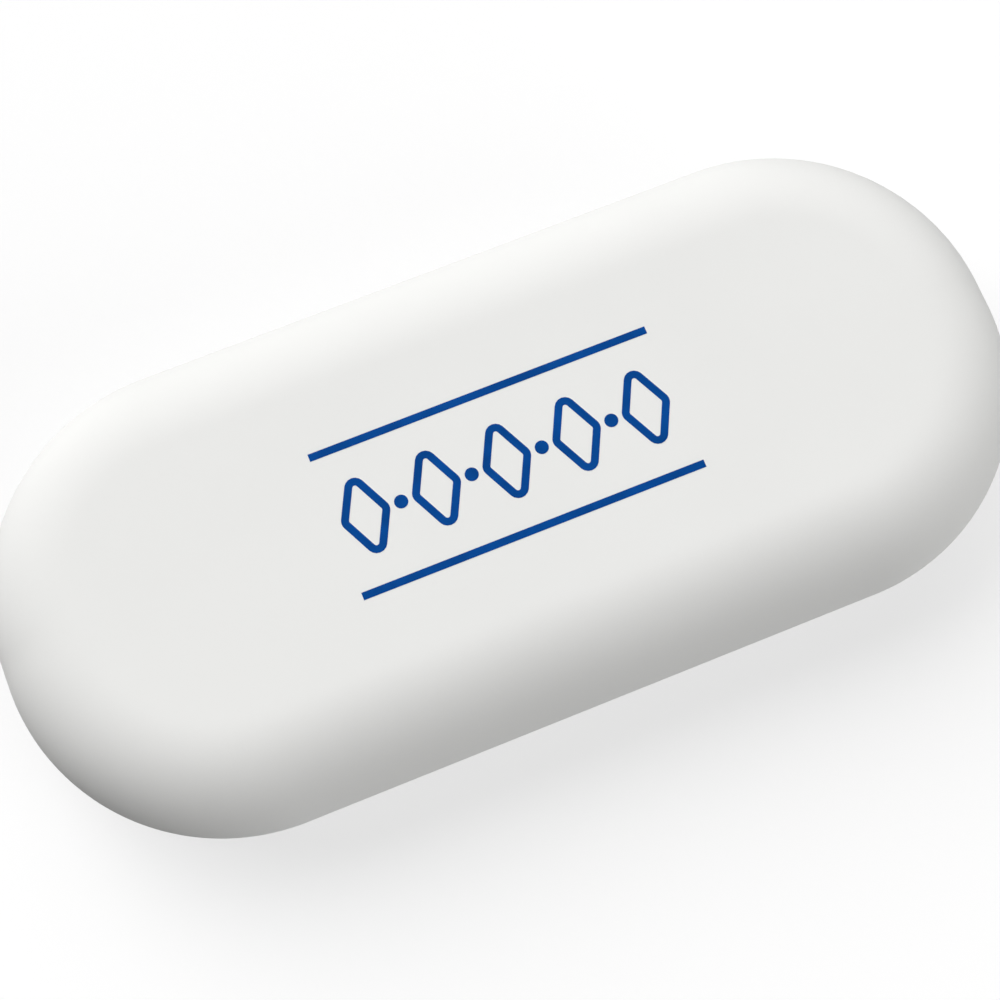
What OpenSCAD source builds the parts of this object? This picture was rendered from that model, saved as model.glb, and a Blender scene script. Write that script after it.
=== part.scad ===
// Rubber eraser: one moulded block. Its plan is an oblong with very large corners,
// its two faces are flat, and one half-round roll runs round the whole edge.
// The origin is the middle of the flat underside, X runs along the block, Z is up.

/* [Block] */
// Overall length of the block
body_l = 62; // [50:0.5:80]
// Overall width of the block
body_w = 28; // [22:0.5:36]
// Overall thickness of the block, which is also the width of its half-round edge
body_t = 11.5; // [8:0.25:15]

/* [Plan corners] */
// Straight stretch across each end, between its two corners
end_run = 1.5; // [0.5:0.25:6]

/* [Hidden] */

// Fineness of the curves, in steps a turn
$fn = 160;
// The roll is a full half round, so its radius follows the thickness
roll_r = body_t / 2;
// Radius of the plan corners, at mid height where the block is widest
corner_r = (body_w - end_run) / 2;
// Radius of the same corners on the flat faces, where the roll begins
face_r = corner_r - roll_r;
// Centres of the plan corners, from the middle of the block
corner_x = body_l / 2 - corner_r;
corner_y = end_run / 2;
// Straight stretch along each side, between its two corners
side_run = body_l - 2 * corner_r;

// One quarter of the roll's section, from mid height up to the flat face
module quarter_roll() {
    intersection() {
        circle(r = roll_r);
        square(roll_r);
    }
}

// Section of the edge: X runs outwards from a corner's centre, Y is the height over mid height
module edge_section() {
    translate([0, -roll_r]) square([face_r, body_t]);
    translate([face_r, 0]) quarter_roll();
    translate([face_r, 0]) mirror([0, 1]) quarter_roll();
}

// One plan corner: a quarter turn of the edge section, in the +X +Y quarter
module corner() {
    rotate_extrude(angle = 90) edge_section();
}

// A straight stretch of the edge, centred, with its outer side facing +X
module straight_edge(run) {
    translate([0, run / 2, 0]) rotate([90, 0, 0]) linear_extrude(height = run) edge_section();
}

// The four corners, mirrored from one
module corners() {
    for (sx = [0, 1], sy = [0, 1])
        mirror([sx, 0, 0]) mirror([0, sy, 0])
            translate([corner_x, corner_y, 0]) corner();
}

// The straight edges: one across each end and one along each side
module straights() {
    for (end = [0, 180])
        rotate(end) translate([corner_x, 0, 0]) straight_edge(end_run);
    for (side = [90, 270])
        rotate(side) translate([corner_y, 0, 0]) straight_edge(side_run);
}

// The middle of the block, between the centres of its four corners
module core() {
    translate([-corner_x, -corner_y, -roll_r]) cube([2 * corner_x, 2 * corner_y, body_t]);
}

// The whole moulding, lifted to stand on its underside
module eraser() {
    color([0.914, 0.914, 0.906])
        translate([0, 0, roll_r])
            union() {
                core();
                corners();
                straights();
            }
}

eraser();
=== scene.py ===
"""White rubber eraser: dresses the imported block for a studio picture.

The file is laid out as an add-on, with one operator for the block, one for the print on its top
face and one for the stage. Run as a script, it makes them in that order. Everything is in metres,
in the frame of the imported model: X along the block, Z up, the origin in the middle of the underside.
"""

import math

import bpy
from bpy.props import FloatProperty, FloatVectorProperty, IntProperty, PointerProperty
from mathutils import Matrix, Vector


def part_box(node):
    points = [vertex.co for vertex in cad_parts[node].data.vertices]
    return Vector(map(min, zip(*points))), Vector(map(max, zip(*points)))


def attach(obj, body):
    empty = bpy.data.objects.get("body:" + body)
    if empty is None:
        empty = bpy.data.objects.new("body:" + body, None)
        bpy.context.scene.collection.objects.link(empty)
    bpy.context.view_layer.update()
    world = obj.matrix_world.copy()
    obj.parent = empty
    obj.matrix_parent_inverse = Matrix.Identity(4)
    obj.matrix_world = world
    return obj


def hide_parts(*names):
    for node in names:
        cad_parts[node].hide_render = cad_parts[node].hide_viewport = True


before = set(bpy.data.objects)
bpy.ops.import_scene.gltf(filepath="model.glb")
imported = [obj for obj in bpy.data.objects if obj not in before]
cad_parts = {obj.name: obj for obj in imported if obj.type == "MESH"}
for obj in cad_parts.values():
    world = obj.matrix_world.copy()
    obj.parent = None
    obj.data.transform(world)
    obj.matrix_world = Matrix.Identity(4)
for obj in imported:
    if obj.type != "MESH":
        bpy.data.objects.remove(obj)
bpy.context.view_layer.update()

bl_info = {
    "name": "White rubber eraser",
    "version": (1, 0, 0),
    "blender": (4, 5, 0),
    "location": "View3D > Sidebar > Eraser",
    "description": "Makes a moulded white rubber eraser with a printed band, on a pale studio floor",
    "category": "Object",
}

MM = 0.001
NODE = "eraser"
BODY = "root"

# Where each lamp stands: azimuth from -Y and turning to +X, and elevation, in degrees
LAMPS = {"back": (165, 45), "side": (210, 40), "front": (35, 10)}

# A noise texture keeps nearly all of its values between these two
NOISE_RANGE = {"From Min": 0.3, "From Max": 0.7}

# Spacing of the nodes in the node editor
COLUMN_STEP = 220
ROW_STEP = 280

BLOCK_LOW, BLOCK_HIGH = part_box(NODE)
BLOCK_SIZE = BLOCK_HIGH - BLOCK_LOW


def linear(hex_colour):
    """Turns a colour such as #EEEEEC into the linear red, green and blue that nodes take."""
    values = [int(hex_colour[i : i + 2], 16) / 255 for i in (1, 3, 5)]
    return tuple(v / 12.92 if v <= 0.04045 else ((v + 0.055) / 1.055) ** 2.4 for v in values)


def add_node(tree, kind, inputs=None, **settings):
    """Adds a node, to the right of what feeds it. A key of inputs is a socket's name or number. Its
    value is a plain value, a node whose first output is linked, an output socket, or a list of those."""
    node = tree.nodes.new(kind)
    for name, value in settings.items():
        setattr(node, name, value)
    column = 0
    for key, value in (inputs or {}).items():
        for source in value if isinstance(value, list) else [value]:
            if isinstance(source, bpy.types.Node):
                source = source.outputs[0]
            if isinstance(source, bpy.types.NodeSocket):
                tree.links.new(source, node.inputs[key])
                column = max(column, source.node.location.x + COLUMN_STEP)
            else:
                node.inputs[key].default_value = source
    row = sum(other.location.x == column for other in tree.nodes if other != node)
    node.location = (column, -ROW_STEP * row)
    return node


def spot_scale(width):
    """Scale at which the spots of a noise texture are about this wide, which is half of its cell."""
    return 0.5 / width


def new_material(name):
    """Starts a material of this name, and returns it with its empty node tree."""
    material = bpy.data.materials.new(name)
    material.use_nodes = True
    material.node_tree.nodes.clear()
    return material, material.node_tree


def moulded_vinyl(colour):
    """Soft white eraser vinyl from a finely blasted mould. It is filled until it is opaque, so it has
    no glow at its edges. The blasting gives it a chalky matt bloom that hardly shines even at a low
    angle, and a grain like fine paper. The mould was polished by hand before the blasting, which
    leaves a trace of slow waves."""
    material, tree = new_material("Moulded white eraser vinyl")
    place = add_node(tree, "ShaderNodeTexCoord").outputs["Object"]

    # Widths on the real block, with the grain drawn at about twice its real width so that it shows
    drift_width = 5.0 * MM
    grain_width = 0.2 * MM
    wave_width = 4.0 * MM
    drift = add_node(
        tree, "ShaderNodeTexNoise", {"Vector": place, "Scale": spot_scale(drift_width), "Detail": 3.0}
    )
    grain = add_node(
        tree, "ShaderNodeTexNoise", {"Vector": place, "Scale": spot_scale(grain_width), "Detail": 2.0}
    )
    wave = add_node(
        tree, "ShaderNodeTexNoise", {"Vector": place, "Scale": spot_scale(wave_width), "Detail": 0.0}
    )

    # The tone drifts by a hundredth or so, as filler never mixes quite evenly into the vinyl
    shade = add_node(
        tree, "ShaderNodeMapRange", {"Value": drift, **NOISE_RANGE, "To Min": 0.988, "To Max": 1.004}
    )
    white = add_node(tree, "ShaderNodeVectorMath", {0: tuple(colour), "Scale": shade}, operation="SCALE")

    # The bloom is a little rougher where the grain stands up
    bloom = add_node(
        tree, "ShaderNodeMapRange", {"Value": grain, **NOISE_RANGE, "To Min": 0.68, "To Max": 0.8}
    )

    # Depths of the waves and of the grain
    wave_depth = 0.012 * MM
    grain_depth = 0.004 * MM
    waves = add_node(tree, "ShaderNodeBump", {"Height": wave, "Strength": 1.0, "Distance": wave_depth})
    skin = add_node(
        tree, "ShaderNodeBump", {"Height": grain, "Strength": 1.0, "Distance": grain_depth, "Normal": waves}
    )
    shader = add_node(
        tree,
        "ShaderNodeBsdfPrincipled",
        {"Base Color": white, "Roughness": bloom, "IOR": 1.5, "Specular IOR Level": 0.1, "Normal": skin},
    )
    add_node(tree, "ShaderNodeOutputMaterial", {"Surface": shader})
    return material


def pad_ink(colour):
    """Pad-printed ink, a thin dense film that soaks into the vinyl's skin and dries nearly matt, so
    that it keeps its deep blue under white light. It shows a faint copy of the vinyl's grain, and its
    depth varies with how much ink each spot of the pad gave off."""
    material, tree = new_material("Pad-printed blue ink")
    place = add_node(tree, "ShaderNodeTexCoord").outputs["Object"]

    # Widths on the real print, with the grain drawn as coarse as the vinyl's and half as deep
    cloud_width = 0.7 * MM
    grain_width = 0.2 * MM
    grain_depth = 0.002 * MM
    cloud = add_node(
        tree, "ShaderNodeTexNoise", {"Vector": place, "Scale": spot_scale(cloud_width), "Detail": 3.0}
    )
    grain = add_node(
        tree, "ShaderNodeTexNoise", {"Vector": place, "Scale": spot_scale(grain_width), "Detail": 2.0}
    )
    shade = add_node(
        tree, "ShaderNodeMapRange", {"Value": cloud, **NOISE_RANGE, "To Min": 0.85, "To Max": 1.15}
    )
    blue = add_node(tree, "ShaderNodeVectorMath", {0: tuple(colour), "Scale": shade}, operation="SCALE")
    skin = add_node(tree, "ShaderNodeBump", {"Height": grain, "Strength": 1.0, "Distance": grain_depth})
    shader = add_node(
        tree,
        "ShaderNodeBsdfPrincipled",
        {"Base Color": blue, "Roughness": 0.55, "IOR": 1.48, "Specular IOR Level": 0.02, "Normal": skin},
    )
    add_node(tree, "ShaderNodeOutputMaterial", {"Surface": shader})
    return material


def seen_directly(tree):
    """A value of 1 where a ray comes from the camera, from a reflection or through glass."""
    path = add_node(tree, "ShaderNodeLightPath")
    camera_or_gloss = add_node(
        tree,
        "ShaderNodeMath",
        {0: path.outputs["Is Camera Ray"], 1: path.outputs["Is Glossy Ray"]},
        operation="MAXIMUM",
    )
    return add_node(
        tree,
        "ShaderNodeMath",
        {0: camera_or_gloss, 1: path.outputs["Is Transmission Ray"]},
        operation="MAXIMUM",
    )


def matt_board(colour, shadow_share, open_light):
    """Matt studio board. The block gets back from it the light that board of this colour gives. The
    camera sees it white where this much light falls on it, and a full shadow takes this share away."""
    material, tree = new_material("Matt studio board")
    plain = add_node(tree, "ShaderNodeBsdfDiffuse", {"Color": (*tuple(colour), 1.0)})
    grey = shadow_share / open_light
    shaded = add_node(tree, "ShaderNodeBsdfDiffuse", {"Color": (grey, grey, grey, 1.0)})
    glow = add_node(tree, "ShaderNodeEmission", {"Strength": 1.0 - shadow_share})
    pale = add_node(tree, "ShaderNodeAddShader", {0: shaded, 1: glow})
    board = add_node(tree, "ShaderNodeMixShader", {"Fac": seen_directly(tree), 1: plain, 2: pale})
    add_node(tree, "ShaderNodeOutputMaterial", {"Surface": board})
    return material


def new_shape_tree(name, inputs):
    """Starts a geometry tree whose inputs have these names and kinds. Returns it with its inputs."""
    tree = bpy.data.node_groups.new(name, "GeometryNodeTree")
    for label, kind in inputs.items():
        tree.interface.new_socket(label, in_out="INPUT", socket_type=f"NodeSocket{kind}")
    tree.interface.new_socket("Geometry", in_out="OUTPUT", socket_type="NodeSocketGeometry")
    return tree, add_node(tree, "NodeGroupInput").outputs


def end_shape_tree(tree, geometry, material):
    """Ends a geometry tree with real geometry in this material."""
    real = add_node(tree, "GeometryNodeRealizeInstances", {"Geometry": geometry})
    dressed = add_node(tree, "GeometryNodeSetMaterial", {"Geometry": real, "Material": material})
    add_node(tree, "NodeGroupOutput", {"Geometry": dressed})
    return tree


def rolled_block_tree():
    """Geometry tree of the block. It takes each point of a finely divided box to the nearest point of
    the solid: first to the nearest point of the flat plate that the roll's centre runs round, and
    from there outwards by the roll's radius."""
    kinds = dict.fromkeys(("Length", "Width", "Thickness", "End run", "Cell"), "Float")
    tree, given = new_shape_tree("Rolled block", kinds | {"Material": "Material"})

    # The box, divided into cells of about the given size
    sides = add_node(
        tree, "ShaderNodeCombineXYZ", {0: given["Length"], 1: given["Width"], 2: given["Thickness"]}
    )
    makes_box = {"Size": sides}
    for side, axis in {"Length": "X", "Width": "Y", "Thickness": "Z"}.items():
        cells = add_node(tree, "ShaderNodeMath", {0: given[side], 1: given["Cell"]}, operation="DIVIDE")
        count = add_node(tree, "ShaderNodeMath", {0: cells}, operation="CEIL")
        points = add_node(tree, "ShaderNodeMath", {0: count, 1: 1.0}, operation="ADD")
        makes_box[f"Vertices {axis}"] = points
    box = add_node(tree, "GeometryNodeMeshCube", makes_box)

    # Radii of the roll, of the plan corners and of the flat face's corners
    roll = add_node(tree, "ShaderNodeMath", {0: given["Thickness"], 1: 0.5}, operation="MULTIPLY")
    across = add_node(
        tree, "ShaderNodeMath", {0: given["Width"], 1: given["End run"]}, operation="SUBTRACT"
    )
    corner = add_node(tree, "ShaderNodeMath", {0: across, 1: 0.5}, operation="MULTIPLY")
    face = add_node(tree, "ShaderNodeMath", {0: corner, 1: roll}, operation="SUBTRACT")

    # Centre of the corner in the +X +Y quarter
    half_length = add_node(tree, "ShaderNodeMath", {0: given["Length"], 1: 0.5}, operation="MULTIPLY")
    centre_x = add_node(tree, "ShaderNodeMath", {0: half_length, 1: corner}, operation="SUBTRACT")
    centre_y = add_node(tree, "ShaderNodeMath", {0: given["End run"], 1: 0.5}, operation="MULTIPLY")
    centre = add_node(tree, "ShaderNodeCombineXYZ", {0: centre_x, 1: centre_y, 2: 0.0})
    opposite = add_node(
        tree, "ShaderNodeVectorMath", {0: centre, 1: (-1.0, -1.0, -1.0)}, operation="MULTIPLY"
    )

    # Nearest point of the oblong between the four centres
    point = add_node(tree, "GeometryNodeInputPosition")
    level = add_node(tree, "ShaderNodeVectorMath", {0: point, 1: (1.0, 1.0, 0.0)}, operation="MULTIPLY")
    above_low = add_node(tree, "ShaderNodeVectorMath", {0: level, 1: opposite}, operation="MAXIMUM")
    nearest = add_node(tree, "ShaderNodeVectorMath", {0: above_low, 1: centre}, operation="MINIMUM")

    # Nearest point of the plate, which reaches past that oblong by the face's corner radius
    outward = add_node(tree, "ShaderNodeVectorMath", {0: level, 1: nearest}, operation="SUBTRACT")
    reach = add_node(tree, "ShaderNodeVectorMath", {0: outward}, operation="LENGTH").outputs["Value"]
    share = add_node(tree, "ShaderNodeMath", {0: face, 1: reach}, operation="DIVIDE")
    kept = add_node(tree, "ShaderNodeMath", {0: share, 1: 1.0}, operation="MINIMUM")
    on_plate = add_node(
        tree, "ShaderNodeVectorMath", {0: outward, 1: kept, 2: nearest}, operation="MULTIPLY_ADD"
    )

    # Out from the plate by the roll's radius, and up so that the block stands on its underside
    away = add_node(tree, "ShaderNodeVectorMath", {0: point, 1: on_plate}, operation="SUBTRACT")
    facing = add_node(tree, "ShaderNodeVectorMath", {0: away}, operation="NORMALIZE")
    skin = add_node(
        tree, "ShaderNodeVectorMath", {0: facing, 1: roll, 2: on_plate}, operation="MULTIPLY_ADD"
    )
    lift = add_node(tree, "ShaderNodeCombineXYZ", {2: roll})
    block = add_node(
        tree, "GeometryNodeSetPosition", {"Geometry": box.outputs["Mesh"], "Position": skin, "Offset": lift}
    )
    smooth = add_node(tree, "GeometryNodeSetShadeSmooth", {"Geometry": block, "Shade Smooth": True})
    return end_shape_tree(tree, smooth, given["Material"])


def printed_band_tree():
    """Geometry tree of the print: a row of open lozenges with a dot between each two, and a ruled line
    above and below. Each is a closed flat solid, and all but the dots are drawn with one rectangular
    pen, as wide as the stroke and as high as the film."""
    kinds = dict.fromkeys(("Length", "Height", "Stroke", "Pitch", "Corner", "Dot"), "Float")
    kinds |= dict.fromkeys(("Lozenge width", "Lozenge height", "Film", "Level"), "Float")
    tree, given = new_shape_tree("Printed band", kinds | {"Lozenges": "Int", "Material": "Material"})
    corner_steps = 6
    dot_sides = 32
    pen = add_node(
        tree, "GeometryNodeCurvePrimitiveQuadrilateral", {"Width": given["Stroke"], "Height": given["Film"]}
    )

    # Ruled lines, centred on the band and half its height above and below, less half a stroke
    half_length = add_node(tree, "ShaderNodeMath", {0: given["Length"], 1: 0.5}, operation="MULTIPLY")
    left_end = add_node(tree, "ShaderNodeMath", {0: half_length, 1: -1.0}, operation="MULTIPLY")
    left = add_node(tree, "ShaderNodeCombineXYZ", {0: left_end})
    right = add_node(tree, "ShaderNodeCombineXYZ", {0: half_length})
    line = add_node(tree, "GeometryNodeCurvePrimitiveLine", {"Start": left, "End": right})
    level_line = add_node(tree, "GeometryNodeSetCurveNormal", {"Curve": line}, mode="Z_UP")
    rule = add_node(
        tree, "GeometryNodeCurveToMesh", {"Curve": level_line, "Profile Curve": pen, "Fill Caps": True}
    )
    rule_space = add_node(
        tree, "ShaderNodeMath", {0: given["Height"], 1: given["Stroke"]}, operation="SUBTRACT"
    )
    rule_y = add_node(tree, "ShaderNodeMath", {0: rule_space, 1: -0.5}, operation="MULTIPLY")
    rule_start = add_node(tree, "ShaderNodeCombineXYZ", {1: rule_y})
    rule_step = add_node(tree, "ShaderNodeCombineXYZ", {1: rule_space})
    rule_places = add_node(
        tree, "GeometryNodeMeshLine", {"Count": 2, "Start Location": rule_start, "Offset": rule_step}
    )
    flat_rule = add_node(tree, "GeometryNodeSetShadeSmooth", {"Geometry": rule, "Shade Smooth": False})
    rules = add_node(tree, "GeometryNodeInstanceOnPoints", {"Points": rule_places, "Instance": flat_rule})

    # A lozenge, drawn along the middle of its stroke, with its corners rounded inside and out
    half_height = add_node(
        tree, "ShaderNodeMath", {0: given["Lozenge height"], 1: 0.5}, operation="MULTIPLY"
    )
    middle = add_node(
        tree,
        "GeometryNodeCurvePrimitiveQuadrilateral",
        {"Width": given["Lozenge width"], "Bottom Height": half_height, "Top Height": half_height},
        mode="KITE",
    )
    half_stroke = add_node(tree, "ShaderNodeMath", {0: given["Stroke"], 1: 0.5}, operation="MULTIPLY")
    bend = add_node(tree, "ShaderNodeMath", {0: given["Corner"], 1: half_stroke}, operation="ADD")
    soft_middle = add_node(
        tree,
        "GeometryNodeFilletCurve",
        {"Curve": middle, "Count": corner_steps, "Radius": bend, "Limit Radius": True},
        mode="POLY",
    )
    level_middle = add_node(tree, "GeometryNodeSetCurveNormal", {"Curve": soft_middle}, mode="Z_UP")
    lozenge = add_node(tree, "GeometryNodeCurveToMesh", {"Curve": level_middle, "Profile Curve": pen})
    flat_lozenge = add_node(
        tree, "GeometryNodeSetShadeSmooth", {"Geometry": lozenge, "Shade Smooth": False}
    )
    dot_radius = add_node(tree, "ShaderNodeMath", {0: given["Dot"], 1: 0.5}, operation="MULTIPLY")
    dot = add_node(
        tree,
        "GeometryNodeMeshCylinder",
        {"Vertices": dot_sides, "Radius": dot_radius, "Depth": given["Film"]},
    ).outputs["Mesh"]

    # The row: lozenges a pitch apart, and a dot halfway between each two
    step = add_node(tree, "ShaderNodeCombineXYZ", {0: given["Pitch"]})
    steps = add_node(tree, "ShaderNodeMath", {0: given["Lozenges"], 1: 1.0}, operation="SUBTRACT")
    half_steps = add_node(tree, "ShaderNodeMath", {0: steps, 1: -0.5}, operation="MULTIPLY")
    row_start = add_node(tree, "ShaderNodeVectorMath", {0: step, "Scale": half_steps}, operation="SCALE")
    dot_start = add_node(
        tree, "ShaderNodeVectorMath", {0: step, 1: (0.5, 0.5, 0.5), 2: row_start}, operation="MULTIPLY_ADD"
    )
    row = add_node(
        tree,
        "GeometryNodeMeshLine",
        {"Count": given["Lozenges"], "Start Location": row_start, "Offset": step},
    )
    gaps = add_node(
        tree, "GeometryNodeMeshLine", {"Count": steps, "Start Location": dot_start, "Offset": step}
    )
    lozenges = add_node(tree, "GeometryNodeInstanceOnPoints", {"Points": row, "Instance": flat_lozenge})
    dots = add_node(tree, "GeometryNodeInstanceOnPoints", {"Points": gaps, "Instance": dot})

    # All of it lifted to its level, and by half the film more, because the pen is centred on its line
    shapes = add_node(tree, "GeometryNodeJoinGeometry", {"Geometry": [rules, lozenges, dots]})
    half_film = add_node(tree, "ShaderNodeMath", {0: given["Film"], 1: 0.5}, operation="MULTIPLY")
    height = add_node(tree, "ShaderNodeMath", {0: given["Level"], 1: half_film}, operation="ADD")
    lift = add_node(tree, "ShaderNodeCombineXYZ", {2: height})
    placed = add_node(tree, "GeometryNodeTransform", {"Geometry": shapes, "Translation": lift})
    return end_shape_tree(tree, placed, given["Material"])


def piece_from_tree(name, tree, values):
    """Runs a geometry tree once with these input values, and keeps what it makes as a plain mesh."""
    piece = bpy.data.objects.new(name, bpy.data.meshes.new(name))
    bpy.context.scene.collection.objects.link(piece)
    maker = piece.modifiers.new(tree.name, "NODES")
    maker.node_group = tree
    sockets = {s.name: s.identifier for s in tree.interface.items_tree if s.in_out == "INPUT"}
    for label, value in values.items():
        maker[sockets[label]] = value
    graph = bpy.context.evaluated_depsgraph_get()
    mesh = bpy.data.meshes.new_from_object(piece.evaluated_get(graph), depsgraph=graph)
    piece.modifiers.remove(maker)
    piece.data = mesh
    mesh.name = name
    if not mesh.polygons:
        raise RuntimeError(f"the geometry tree of {name} made no faces")

    # A shape that a tree makes by itself starts with an empty material slot, so one slot is made anew
    mesh.materials.clear()
    mesh.materials.append(values["Material"])
    mesh.polygons.foreach_set("material_index", [0] * len(mesh.polygons))
    return piece


def from_direction(azimuth, elevation):
    """Unit vector towards a place seen at this azimuth, from -Y and turning to +X, and elevation."""
    level = math.cos(elevation)
    return Vector((math.sin(azimuth) * level, -math.cos(azimuth) * level, math.sin(elevation)))


class BlockSettings(bpy.types.PropertyGroup):
    """Sizes and colour of the moulded block."""

    length: FloatProperty(
        name="Length", description="Overall length of the block", default=BLOCK_SIZE.x, unit="LENGTH"
    )
    width: FloatProperty(
        name="Width", description="Overall width of the block", default=BLOCK_SIZE.y, unit="LENGTH"
    )
    thickness: FloatProperty(
        name="Thickness", description="Overall thickness of the block", default=BLOCK_SIZE.z, unit="LENGTH"
    )
    end_run: FloatProperty(
        name="End run",
        description="Straight stretch across each end, between its two corners",
        default=1.5 * MM,
        unit="LENGTH",
    )
    cell: FloatProperty(
        name="Cell",
        description="Size of the mesh's cells on the flat faces",
        default=0.25 * MM,
        unit="LENGTH",
    )
    colour: FloatVectorProperty(
        name="Vinyl", description="Colour of the vinyl", default=linear("#EEEEEC"), subtype="COLOR"
    )


class PrintSettings(bpy.types.PropertyGroup):
    """Sizes and colour of the printed band."""

    length: FloatProperty(
        name="Length", description="Length of the ruled lines", default=20.6 * MM, unit="LENGTH"
    )
    height: FloatProperty(
        name="Height", description="Height of the band over its two lines", default=9.0 * MM, unit="LENGTH"
    )
    stroke: FloatProperty(
        name="Stroke", description="Width of every printed line", default=0.45 * MM, unit="LENGTH"
    )
    lozenges: IntProperty(
        name="Lozenges", description="Number of open lozenges in the row", default=5, min=2
    )
    pitch: FloatProperty(
        name="Pitch", description="Distance from one lozenge to the next", default=4.25 * MM, unit="LENGTH"
    )
    lozenge_width: FloatProperty(
        name="Lozenge width",
        description="Width of a lozenge, to the middle of its line",
        default=2.5 * MM,
        unit="LENGTH",
    )
    lozenge_height: FloatProperty(
        name="Lozenge height",
        description="Height of a lozenge, to the middle of its line",
        default=5.1 * MM,
        unit="LENGTH",
    )
    corner: FloatProperty(
        name="Corner", description="Radius inside a lozenge's corners", default=0.15 * MM, unit="LENGTH"
    )
    dot: FloatProperty(
        name="Dot", description="Diameter of the dots between the lozenges", default=0.8 * MM, unit="LENGTH"
    )
    film: FloatProperty(
        name="Film", description="Thickness of the ink over the vinyl", default=0.015 * MM, unit="LENGTH"
    )
    colour: FloatVectorProperty(
        name="Ink", description="Colour of the ink", default=linear("#084791"), subtype="COLOR"
    )


class StageSettings(bpy.types.PropertyGroup):
    """Camera, lamps and floor."""

    azimuth: FloatProperty(
        name="Azimuth",
        description="Direction of the camera, from -Y and turning to +X",
        default=math.radians(-21.85),
        subtype="ANGLE",
    )
    elevation: FloatProperty(
        name="Elevation",
        description="Height of the camera over the horizon",
        default=math.radians(75.44),
        subtype="ANGLE",
    )
    distance: FloatProperty(
        name="Distance", description="From the camera to the aim", default=110.8 * MM, unit="LENGTH"
    )
    lens: FloatProperty(name="Lens", description="Focal length of the camera", default=67.42, unit="CAMERA")
    aim: FloatVectorProperty(
        name="Aim",
        description="Point of the block's middle plane that the camera looks at",
        default=(-0.65 * MM, -0.59 * MM),
        size=2,
        unit="LENGTH",
    )
    back: FloatProperty(name="Back", description="Strength of the lamp behind", default=1.01)
    side: FloatProperty(name="Side", description="Strength of the lamp at the back left", default=2.59)
    front: FloatProperty(
        name="Front", description="Strength of the low lamp at the front right", default=2.35
    )
    softness: FloatProperty(
        name="Softness", description="Angle that each lamp fills", default=math.radians(60), subtype="ANGLE"
    )
    room_strength: FloatProperty(
        name="Room", description="Strength of the light from all round", default=0.034
    )
    floor_size: FloatProperty(name="Floor", description="Side of the floor", default=6.0, unit="LENGTH")
    floor_colour: FloatVectorProperty(
        name="Board", description="Colour of the floor's board", default=linear("#6C6C6C"), subtype="COLOR"
    )
    shadow_share: FloatProperty(
        name="Shadow",
        description="Share of the floor's brightness that a full shadow takes",
        default=0.35,
        min=0.0,
        max=1.0,
        subtype="FACTOR",
    )
    open_light: FloatProperty(
        name="Open light", description="Light that falls on the open floor, where 1 is full", default=0.94
    )


class ERASER_OT_block(bpy.types.Operator):
    """Makes the moulded block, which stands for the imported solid"""

    bl_idname = "eraser.block"
    bl_label = "Make the block"
    bl_options = {"REGISTER", "UNDO"}

    def execute(self, context):
        sizes = context.scene.eraser_block
        piece = piece_from_tree(
            "eraser_block",
            rolled_block_tree(),
            {
                "Length": sizes.length,
                "Width": sizes.width,
                "Thickness": sizes.thickness,
                "End run": sizes.end_run,
                "Cell": sizes.cell,
                "Material": moulded_vinyl(sizes.colour),
            },
        )
        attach(piece, BODY)
        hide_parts(NODE)
        return {"FINISHED"}


class ERASER_OT_print(bpy.types.Operator):
    """Makes the printed band in the middle of the block's top face"""

    bl_idname = "eraser.print"
    bl_label = "Make the print"
    bl_options = {"REGISTER", "UNDO"}

    def execute(self, context):
        sizes = context.scene.eraser_print

        # The ink reaches as deep into the vinyl as it stands over it, so that no gap can show
        sunk = sizes.film
        piece = piece_from_tree(
            "printed_band",
            printed_band_tree(),
            {
                "Length": sizes.length,
                "Height": sizes.height,
                "Stroke": sizes.stroke,
                "Pitch": sizes.pitch,
                "Lozenges": sizes.lozenges,
                "Lozenge width": sizes.lozenge_width,
                "Lozenge height": sizes.lozenge_height,
                "Corner": sizes.corner,
                "Dot": sizes.dot,
                "Film": sizes.film + sunk,
                "Level": context.scene.eraser_block.thickness - sunk,
                "Material": pad_ink(sizes.colour),
            },
        )
        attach(piece, BODY)
        return {"FINISHED"}


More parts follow.
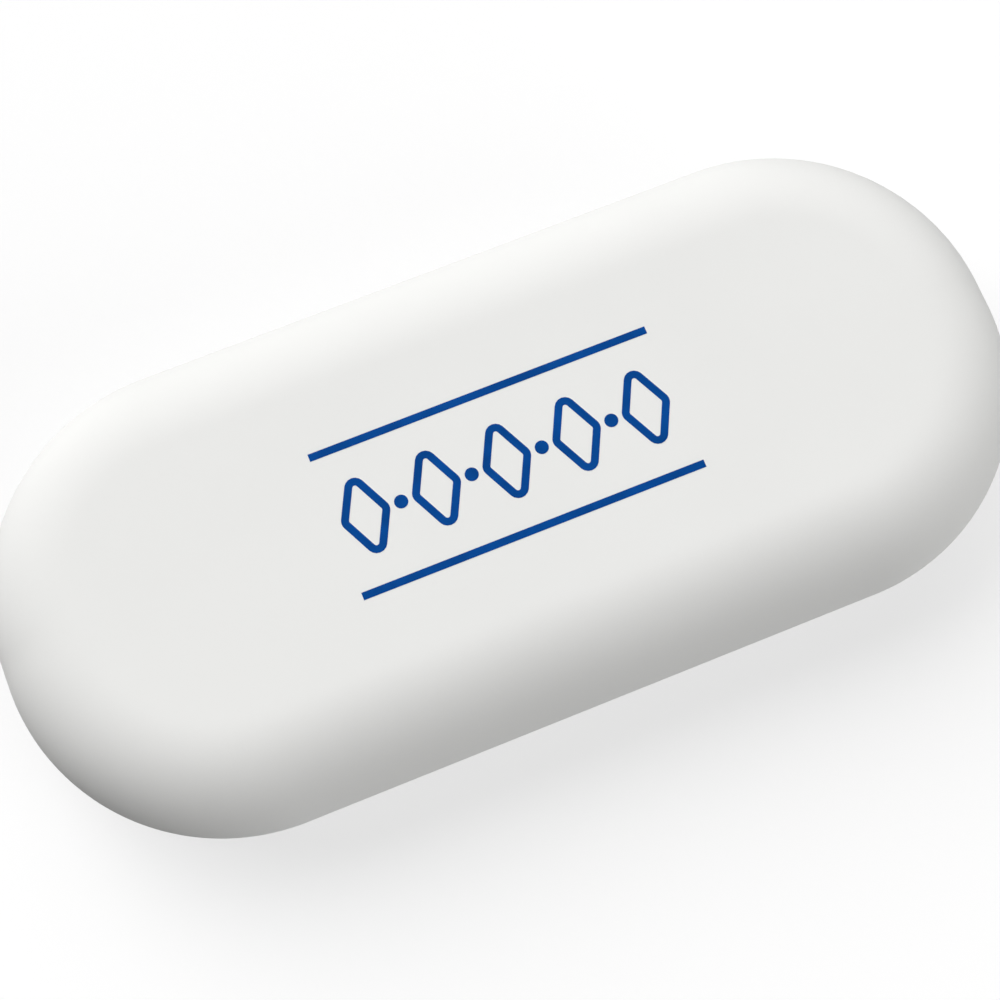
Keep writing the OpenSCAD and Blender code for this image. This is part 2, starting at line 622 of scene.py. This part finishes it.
class ERASER_OT_stage(bpy.types.Operator):
    """Makes the floor, the lamps, the room's light and the camera"""

    bl_idname = "eraser.stage"
    bl_label = "Make the stage"
    bl_options = {"REGISTER", "UNDO"}

    def execute(self, context):
        scene = context.scene
        stage = scene.eraser_stage
        self.floor(scene, stage)
        self.room(scene, stage)
        for name, (azimuth, elevation) in LAMPS.items():
            towards = from_direction(math.radians(azimuth), math.radians(elevation))
            self.lamp(scene, name, towards, getattr(stage, name), stage.softness)
        self.camera(scene, stage)
        scene.view_settings.view_transform = "Standard"
        return {"FINISHED"}

    def floor(self, scene, stage):
        """A level board just under the block."""
        half = stage.floor_size / 2
        corners = [(-half, -half, 0), (half, -half, 0), (half, half, 0), (-half, half, 0)]
        mesh = bpy.data.meshes.new("floor")
        mesh.from_pydata(corners, [], [(0, 1, 2, 3)])
        mesh.materials.append(matt_board(stage.floor_colour, stage.shadow_share, stage.open_light))
        floor = bpy.data.objects.new("floor", mesh)
        scene.collection.objects.link(floor)

    def room(self, scene, stage):
        """Even light from all round, which shows as plain white."""
        world = bpy.data.worlds.new("Pale room")
        world.use_nodes = True
        tree = world.node_tree
        tree.nodes.clear()
        white = (1.0, 1.0, 1.0, 1.0)
        light = add_node(tree, "ShaderNodeBackground", {"Color": white, "Strength": stage.room_strength})
        shown = add_node(tree, "ShaderNodeBackground", {"Color": white, "Strength": 1.0})
        mixed = add_node(tree, "ShaderNodeMixShader", {"Fac": seen_directly(tree), 1: light, 2: shown})
        add_node(tree, "ShaderNodeOutputWorld", {"Surface": mixed})
        scene.world = world

    def lamp(self, scene, name, towards, strength, softness):
        """A distant soft lamp in this direction."""
        data = bpy.data.lights.new(name, "SUN")
        data.energy = strength
        data.angle = softness
        lamp = bpy.data.objects.new(name, data)
        lamp.rotation_euler = towards.to_track_quat("Z", "Y").to_euler()
        scene.collection.objects.link(lamp)

    def camera(self, scene, stage):
        """The camera, aimed at a point of the block's middle plane."""
        data = bpy.data.cameras.new("camera")
        data.lens = stage.lens
        data.clip_start = 10 * MM
        camera = bpy.data.objects.new("camera", data)
        back = from_direction(stage.azimuth, stage.elevation)
        aim = Vector((*stage.aim, scene.eraser_block.thickness / 2))
        camera.location = aim + back * stage.distance
        camera.rotation_euler = back.to_track_quat("Z", "Y").to_euler()
        scene.collection.objects.link(camera)
        scene.camera = camera


class VIEW3D_PT_eraser(bpy.types.Panel):
    """Sizes, colours and buttons for the eraser and its stage"""

    bl_label = "White rubber eraser"
    bl_space_type = "VIEW_3D"
    bl_region_type = "UI"
    bl_category = "Eraser"

    def draw(self, context):
        for settings, operator in GROUPS:
            box = self.layout.box()
            group = getattr(context.scene, settings)
            for name in group.__annotations__:
                box.prop(group, name)
            box.operator(operator)


GROUPS = (
    ("eraser_block", ERASER_OT_block.bl_idname),
    ("eraser_print", ERASER_OT_print.bl_idname),
    ("eraser_stage", ERASER_OT_stage.bl_idname),
)
CLASSES = (
    BlockSettings,
    PrintSettings,
    StageSettings,
    ERASER_OT_block,
    ERASER_OT_print,
    ERASER_OT_stage,
    VIEW3D_PT_eraser,
)


def register():
    for cls in CLASSES:
        bpy.utils.register_class(cls)
    bpy.types.Scene.eraser_block = PointerProperty(type=BlockSettings)
    bpy.types.Scene.eraser_print = PointerProperty(type=PrintSettings)
    bpy.types.Scene.eraser_stage = PointerProperty(type=StageSettings)


def unregister():
    for settings, _ in GROUPS:
        delattr(bpy.types.Scene, settings)
    for cls in reversed(CLASSES):
        bpy.utils.unregister_class(cls)


def main():
    """Makes the eraser and its stage."""
    register()
    bpy.ops.eraser.block()
    bpy.ops.eraser.print()
    bpy.ops.eraser.stage()


if __name__ == "__main__":
    main()
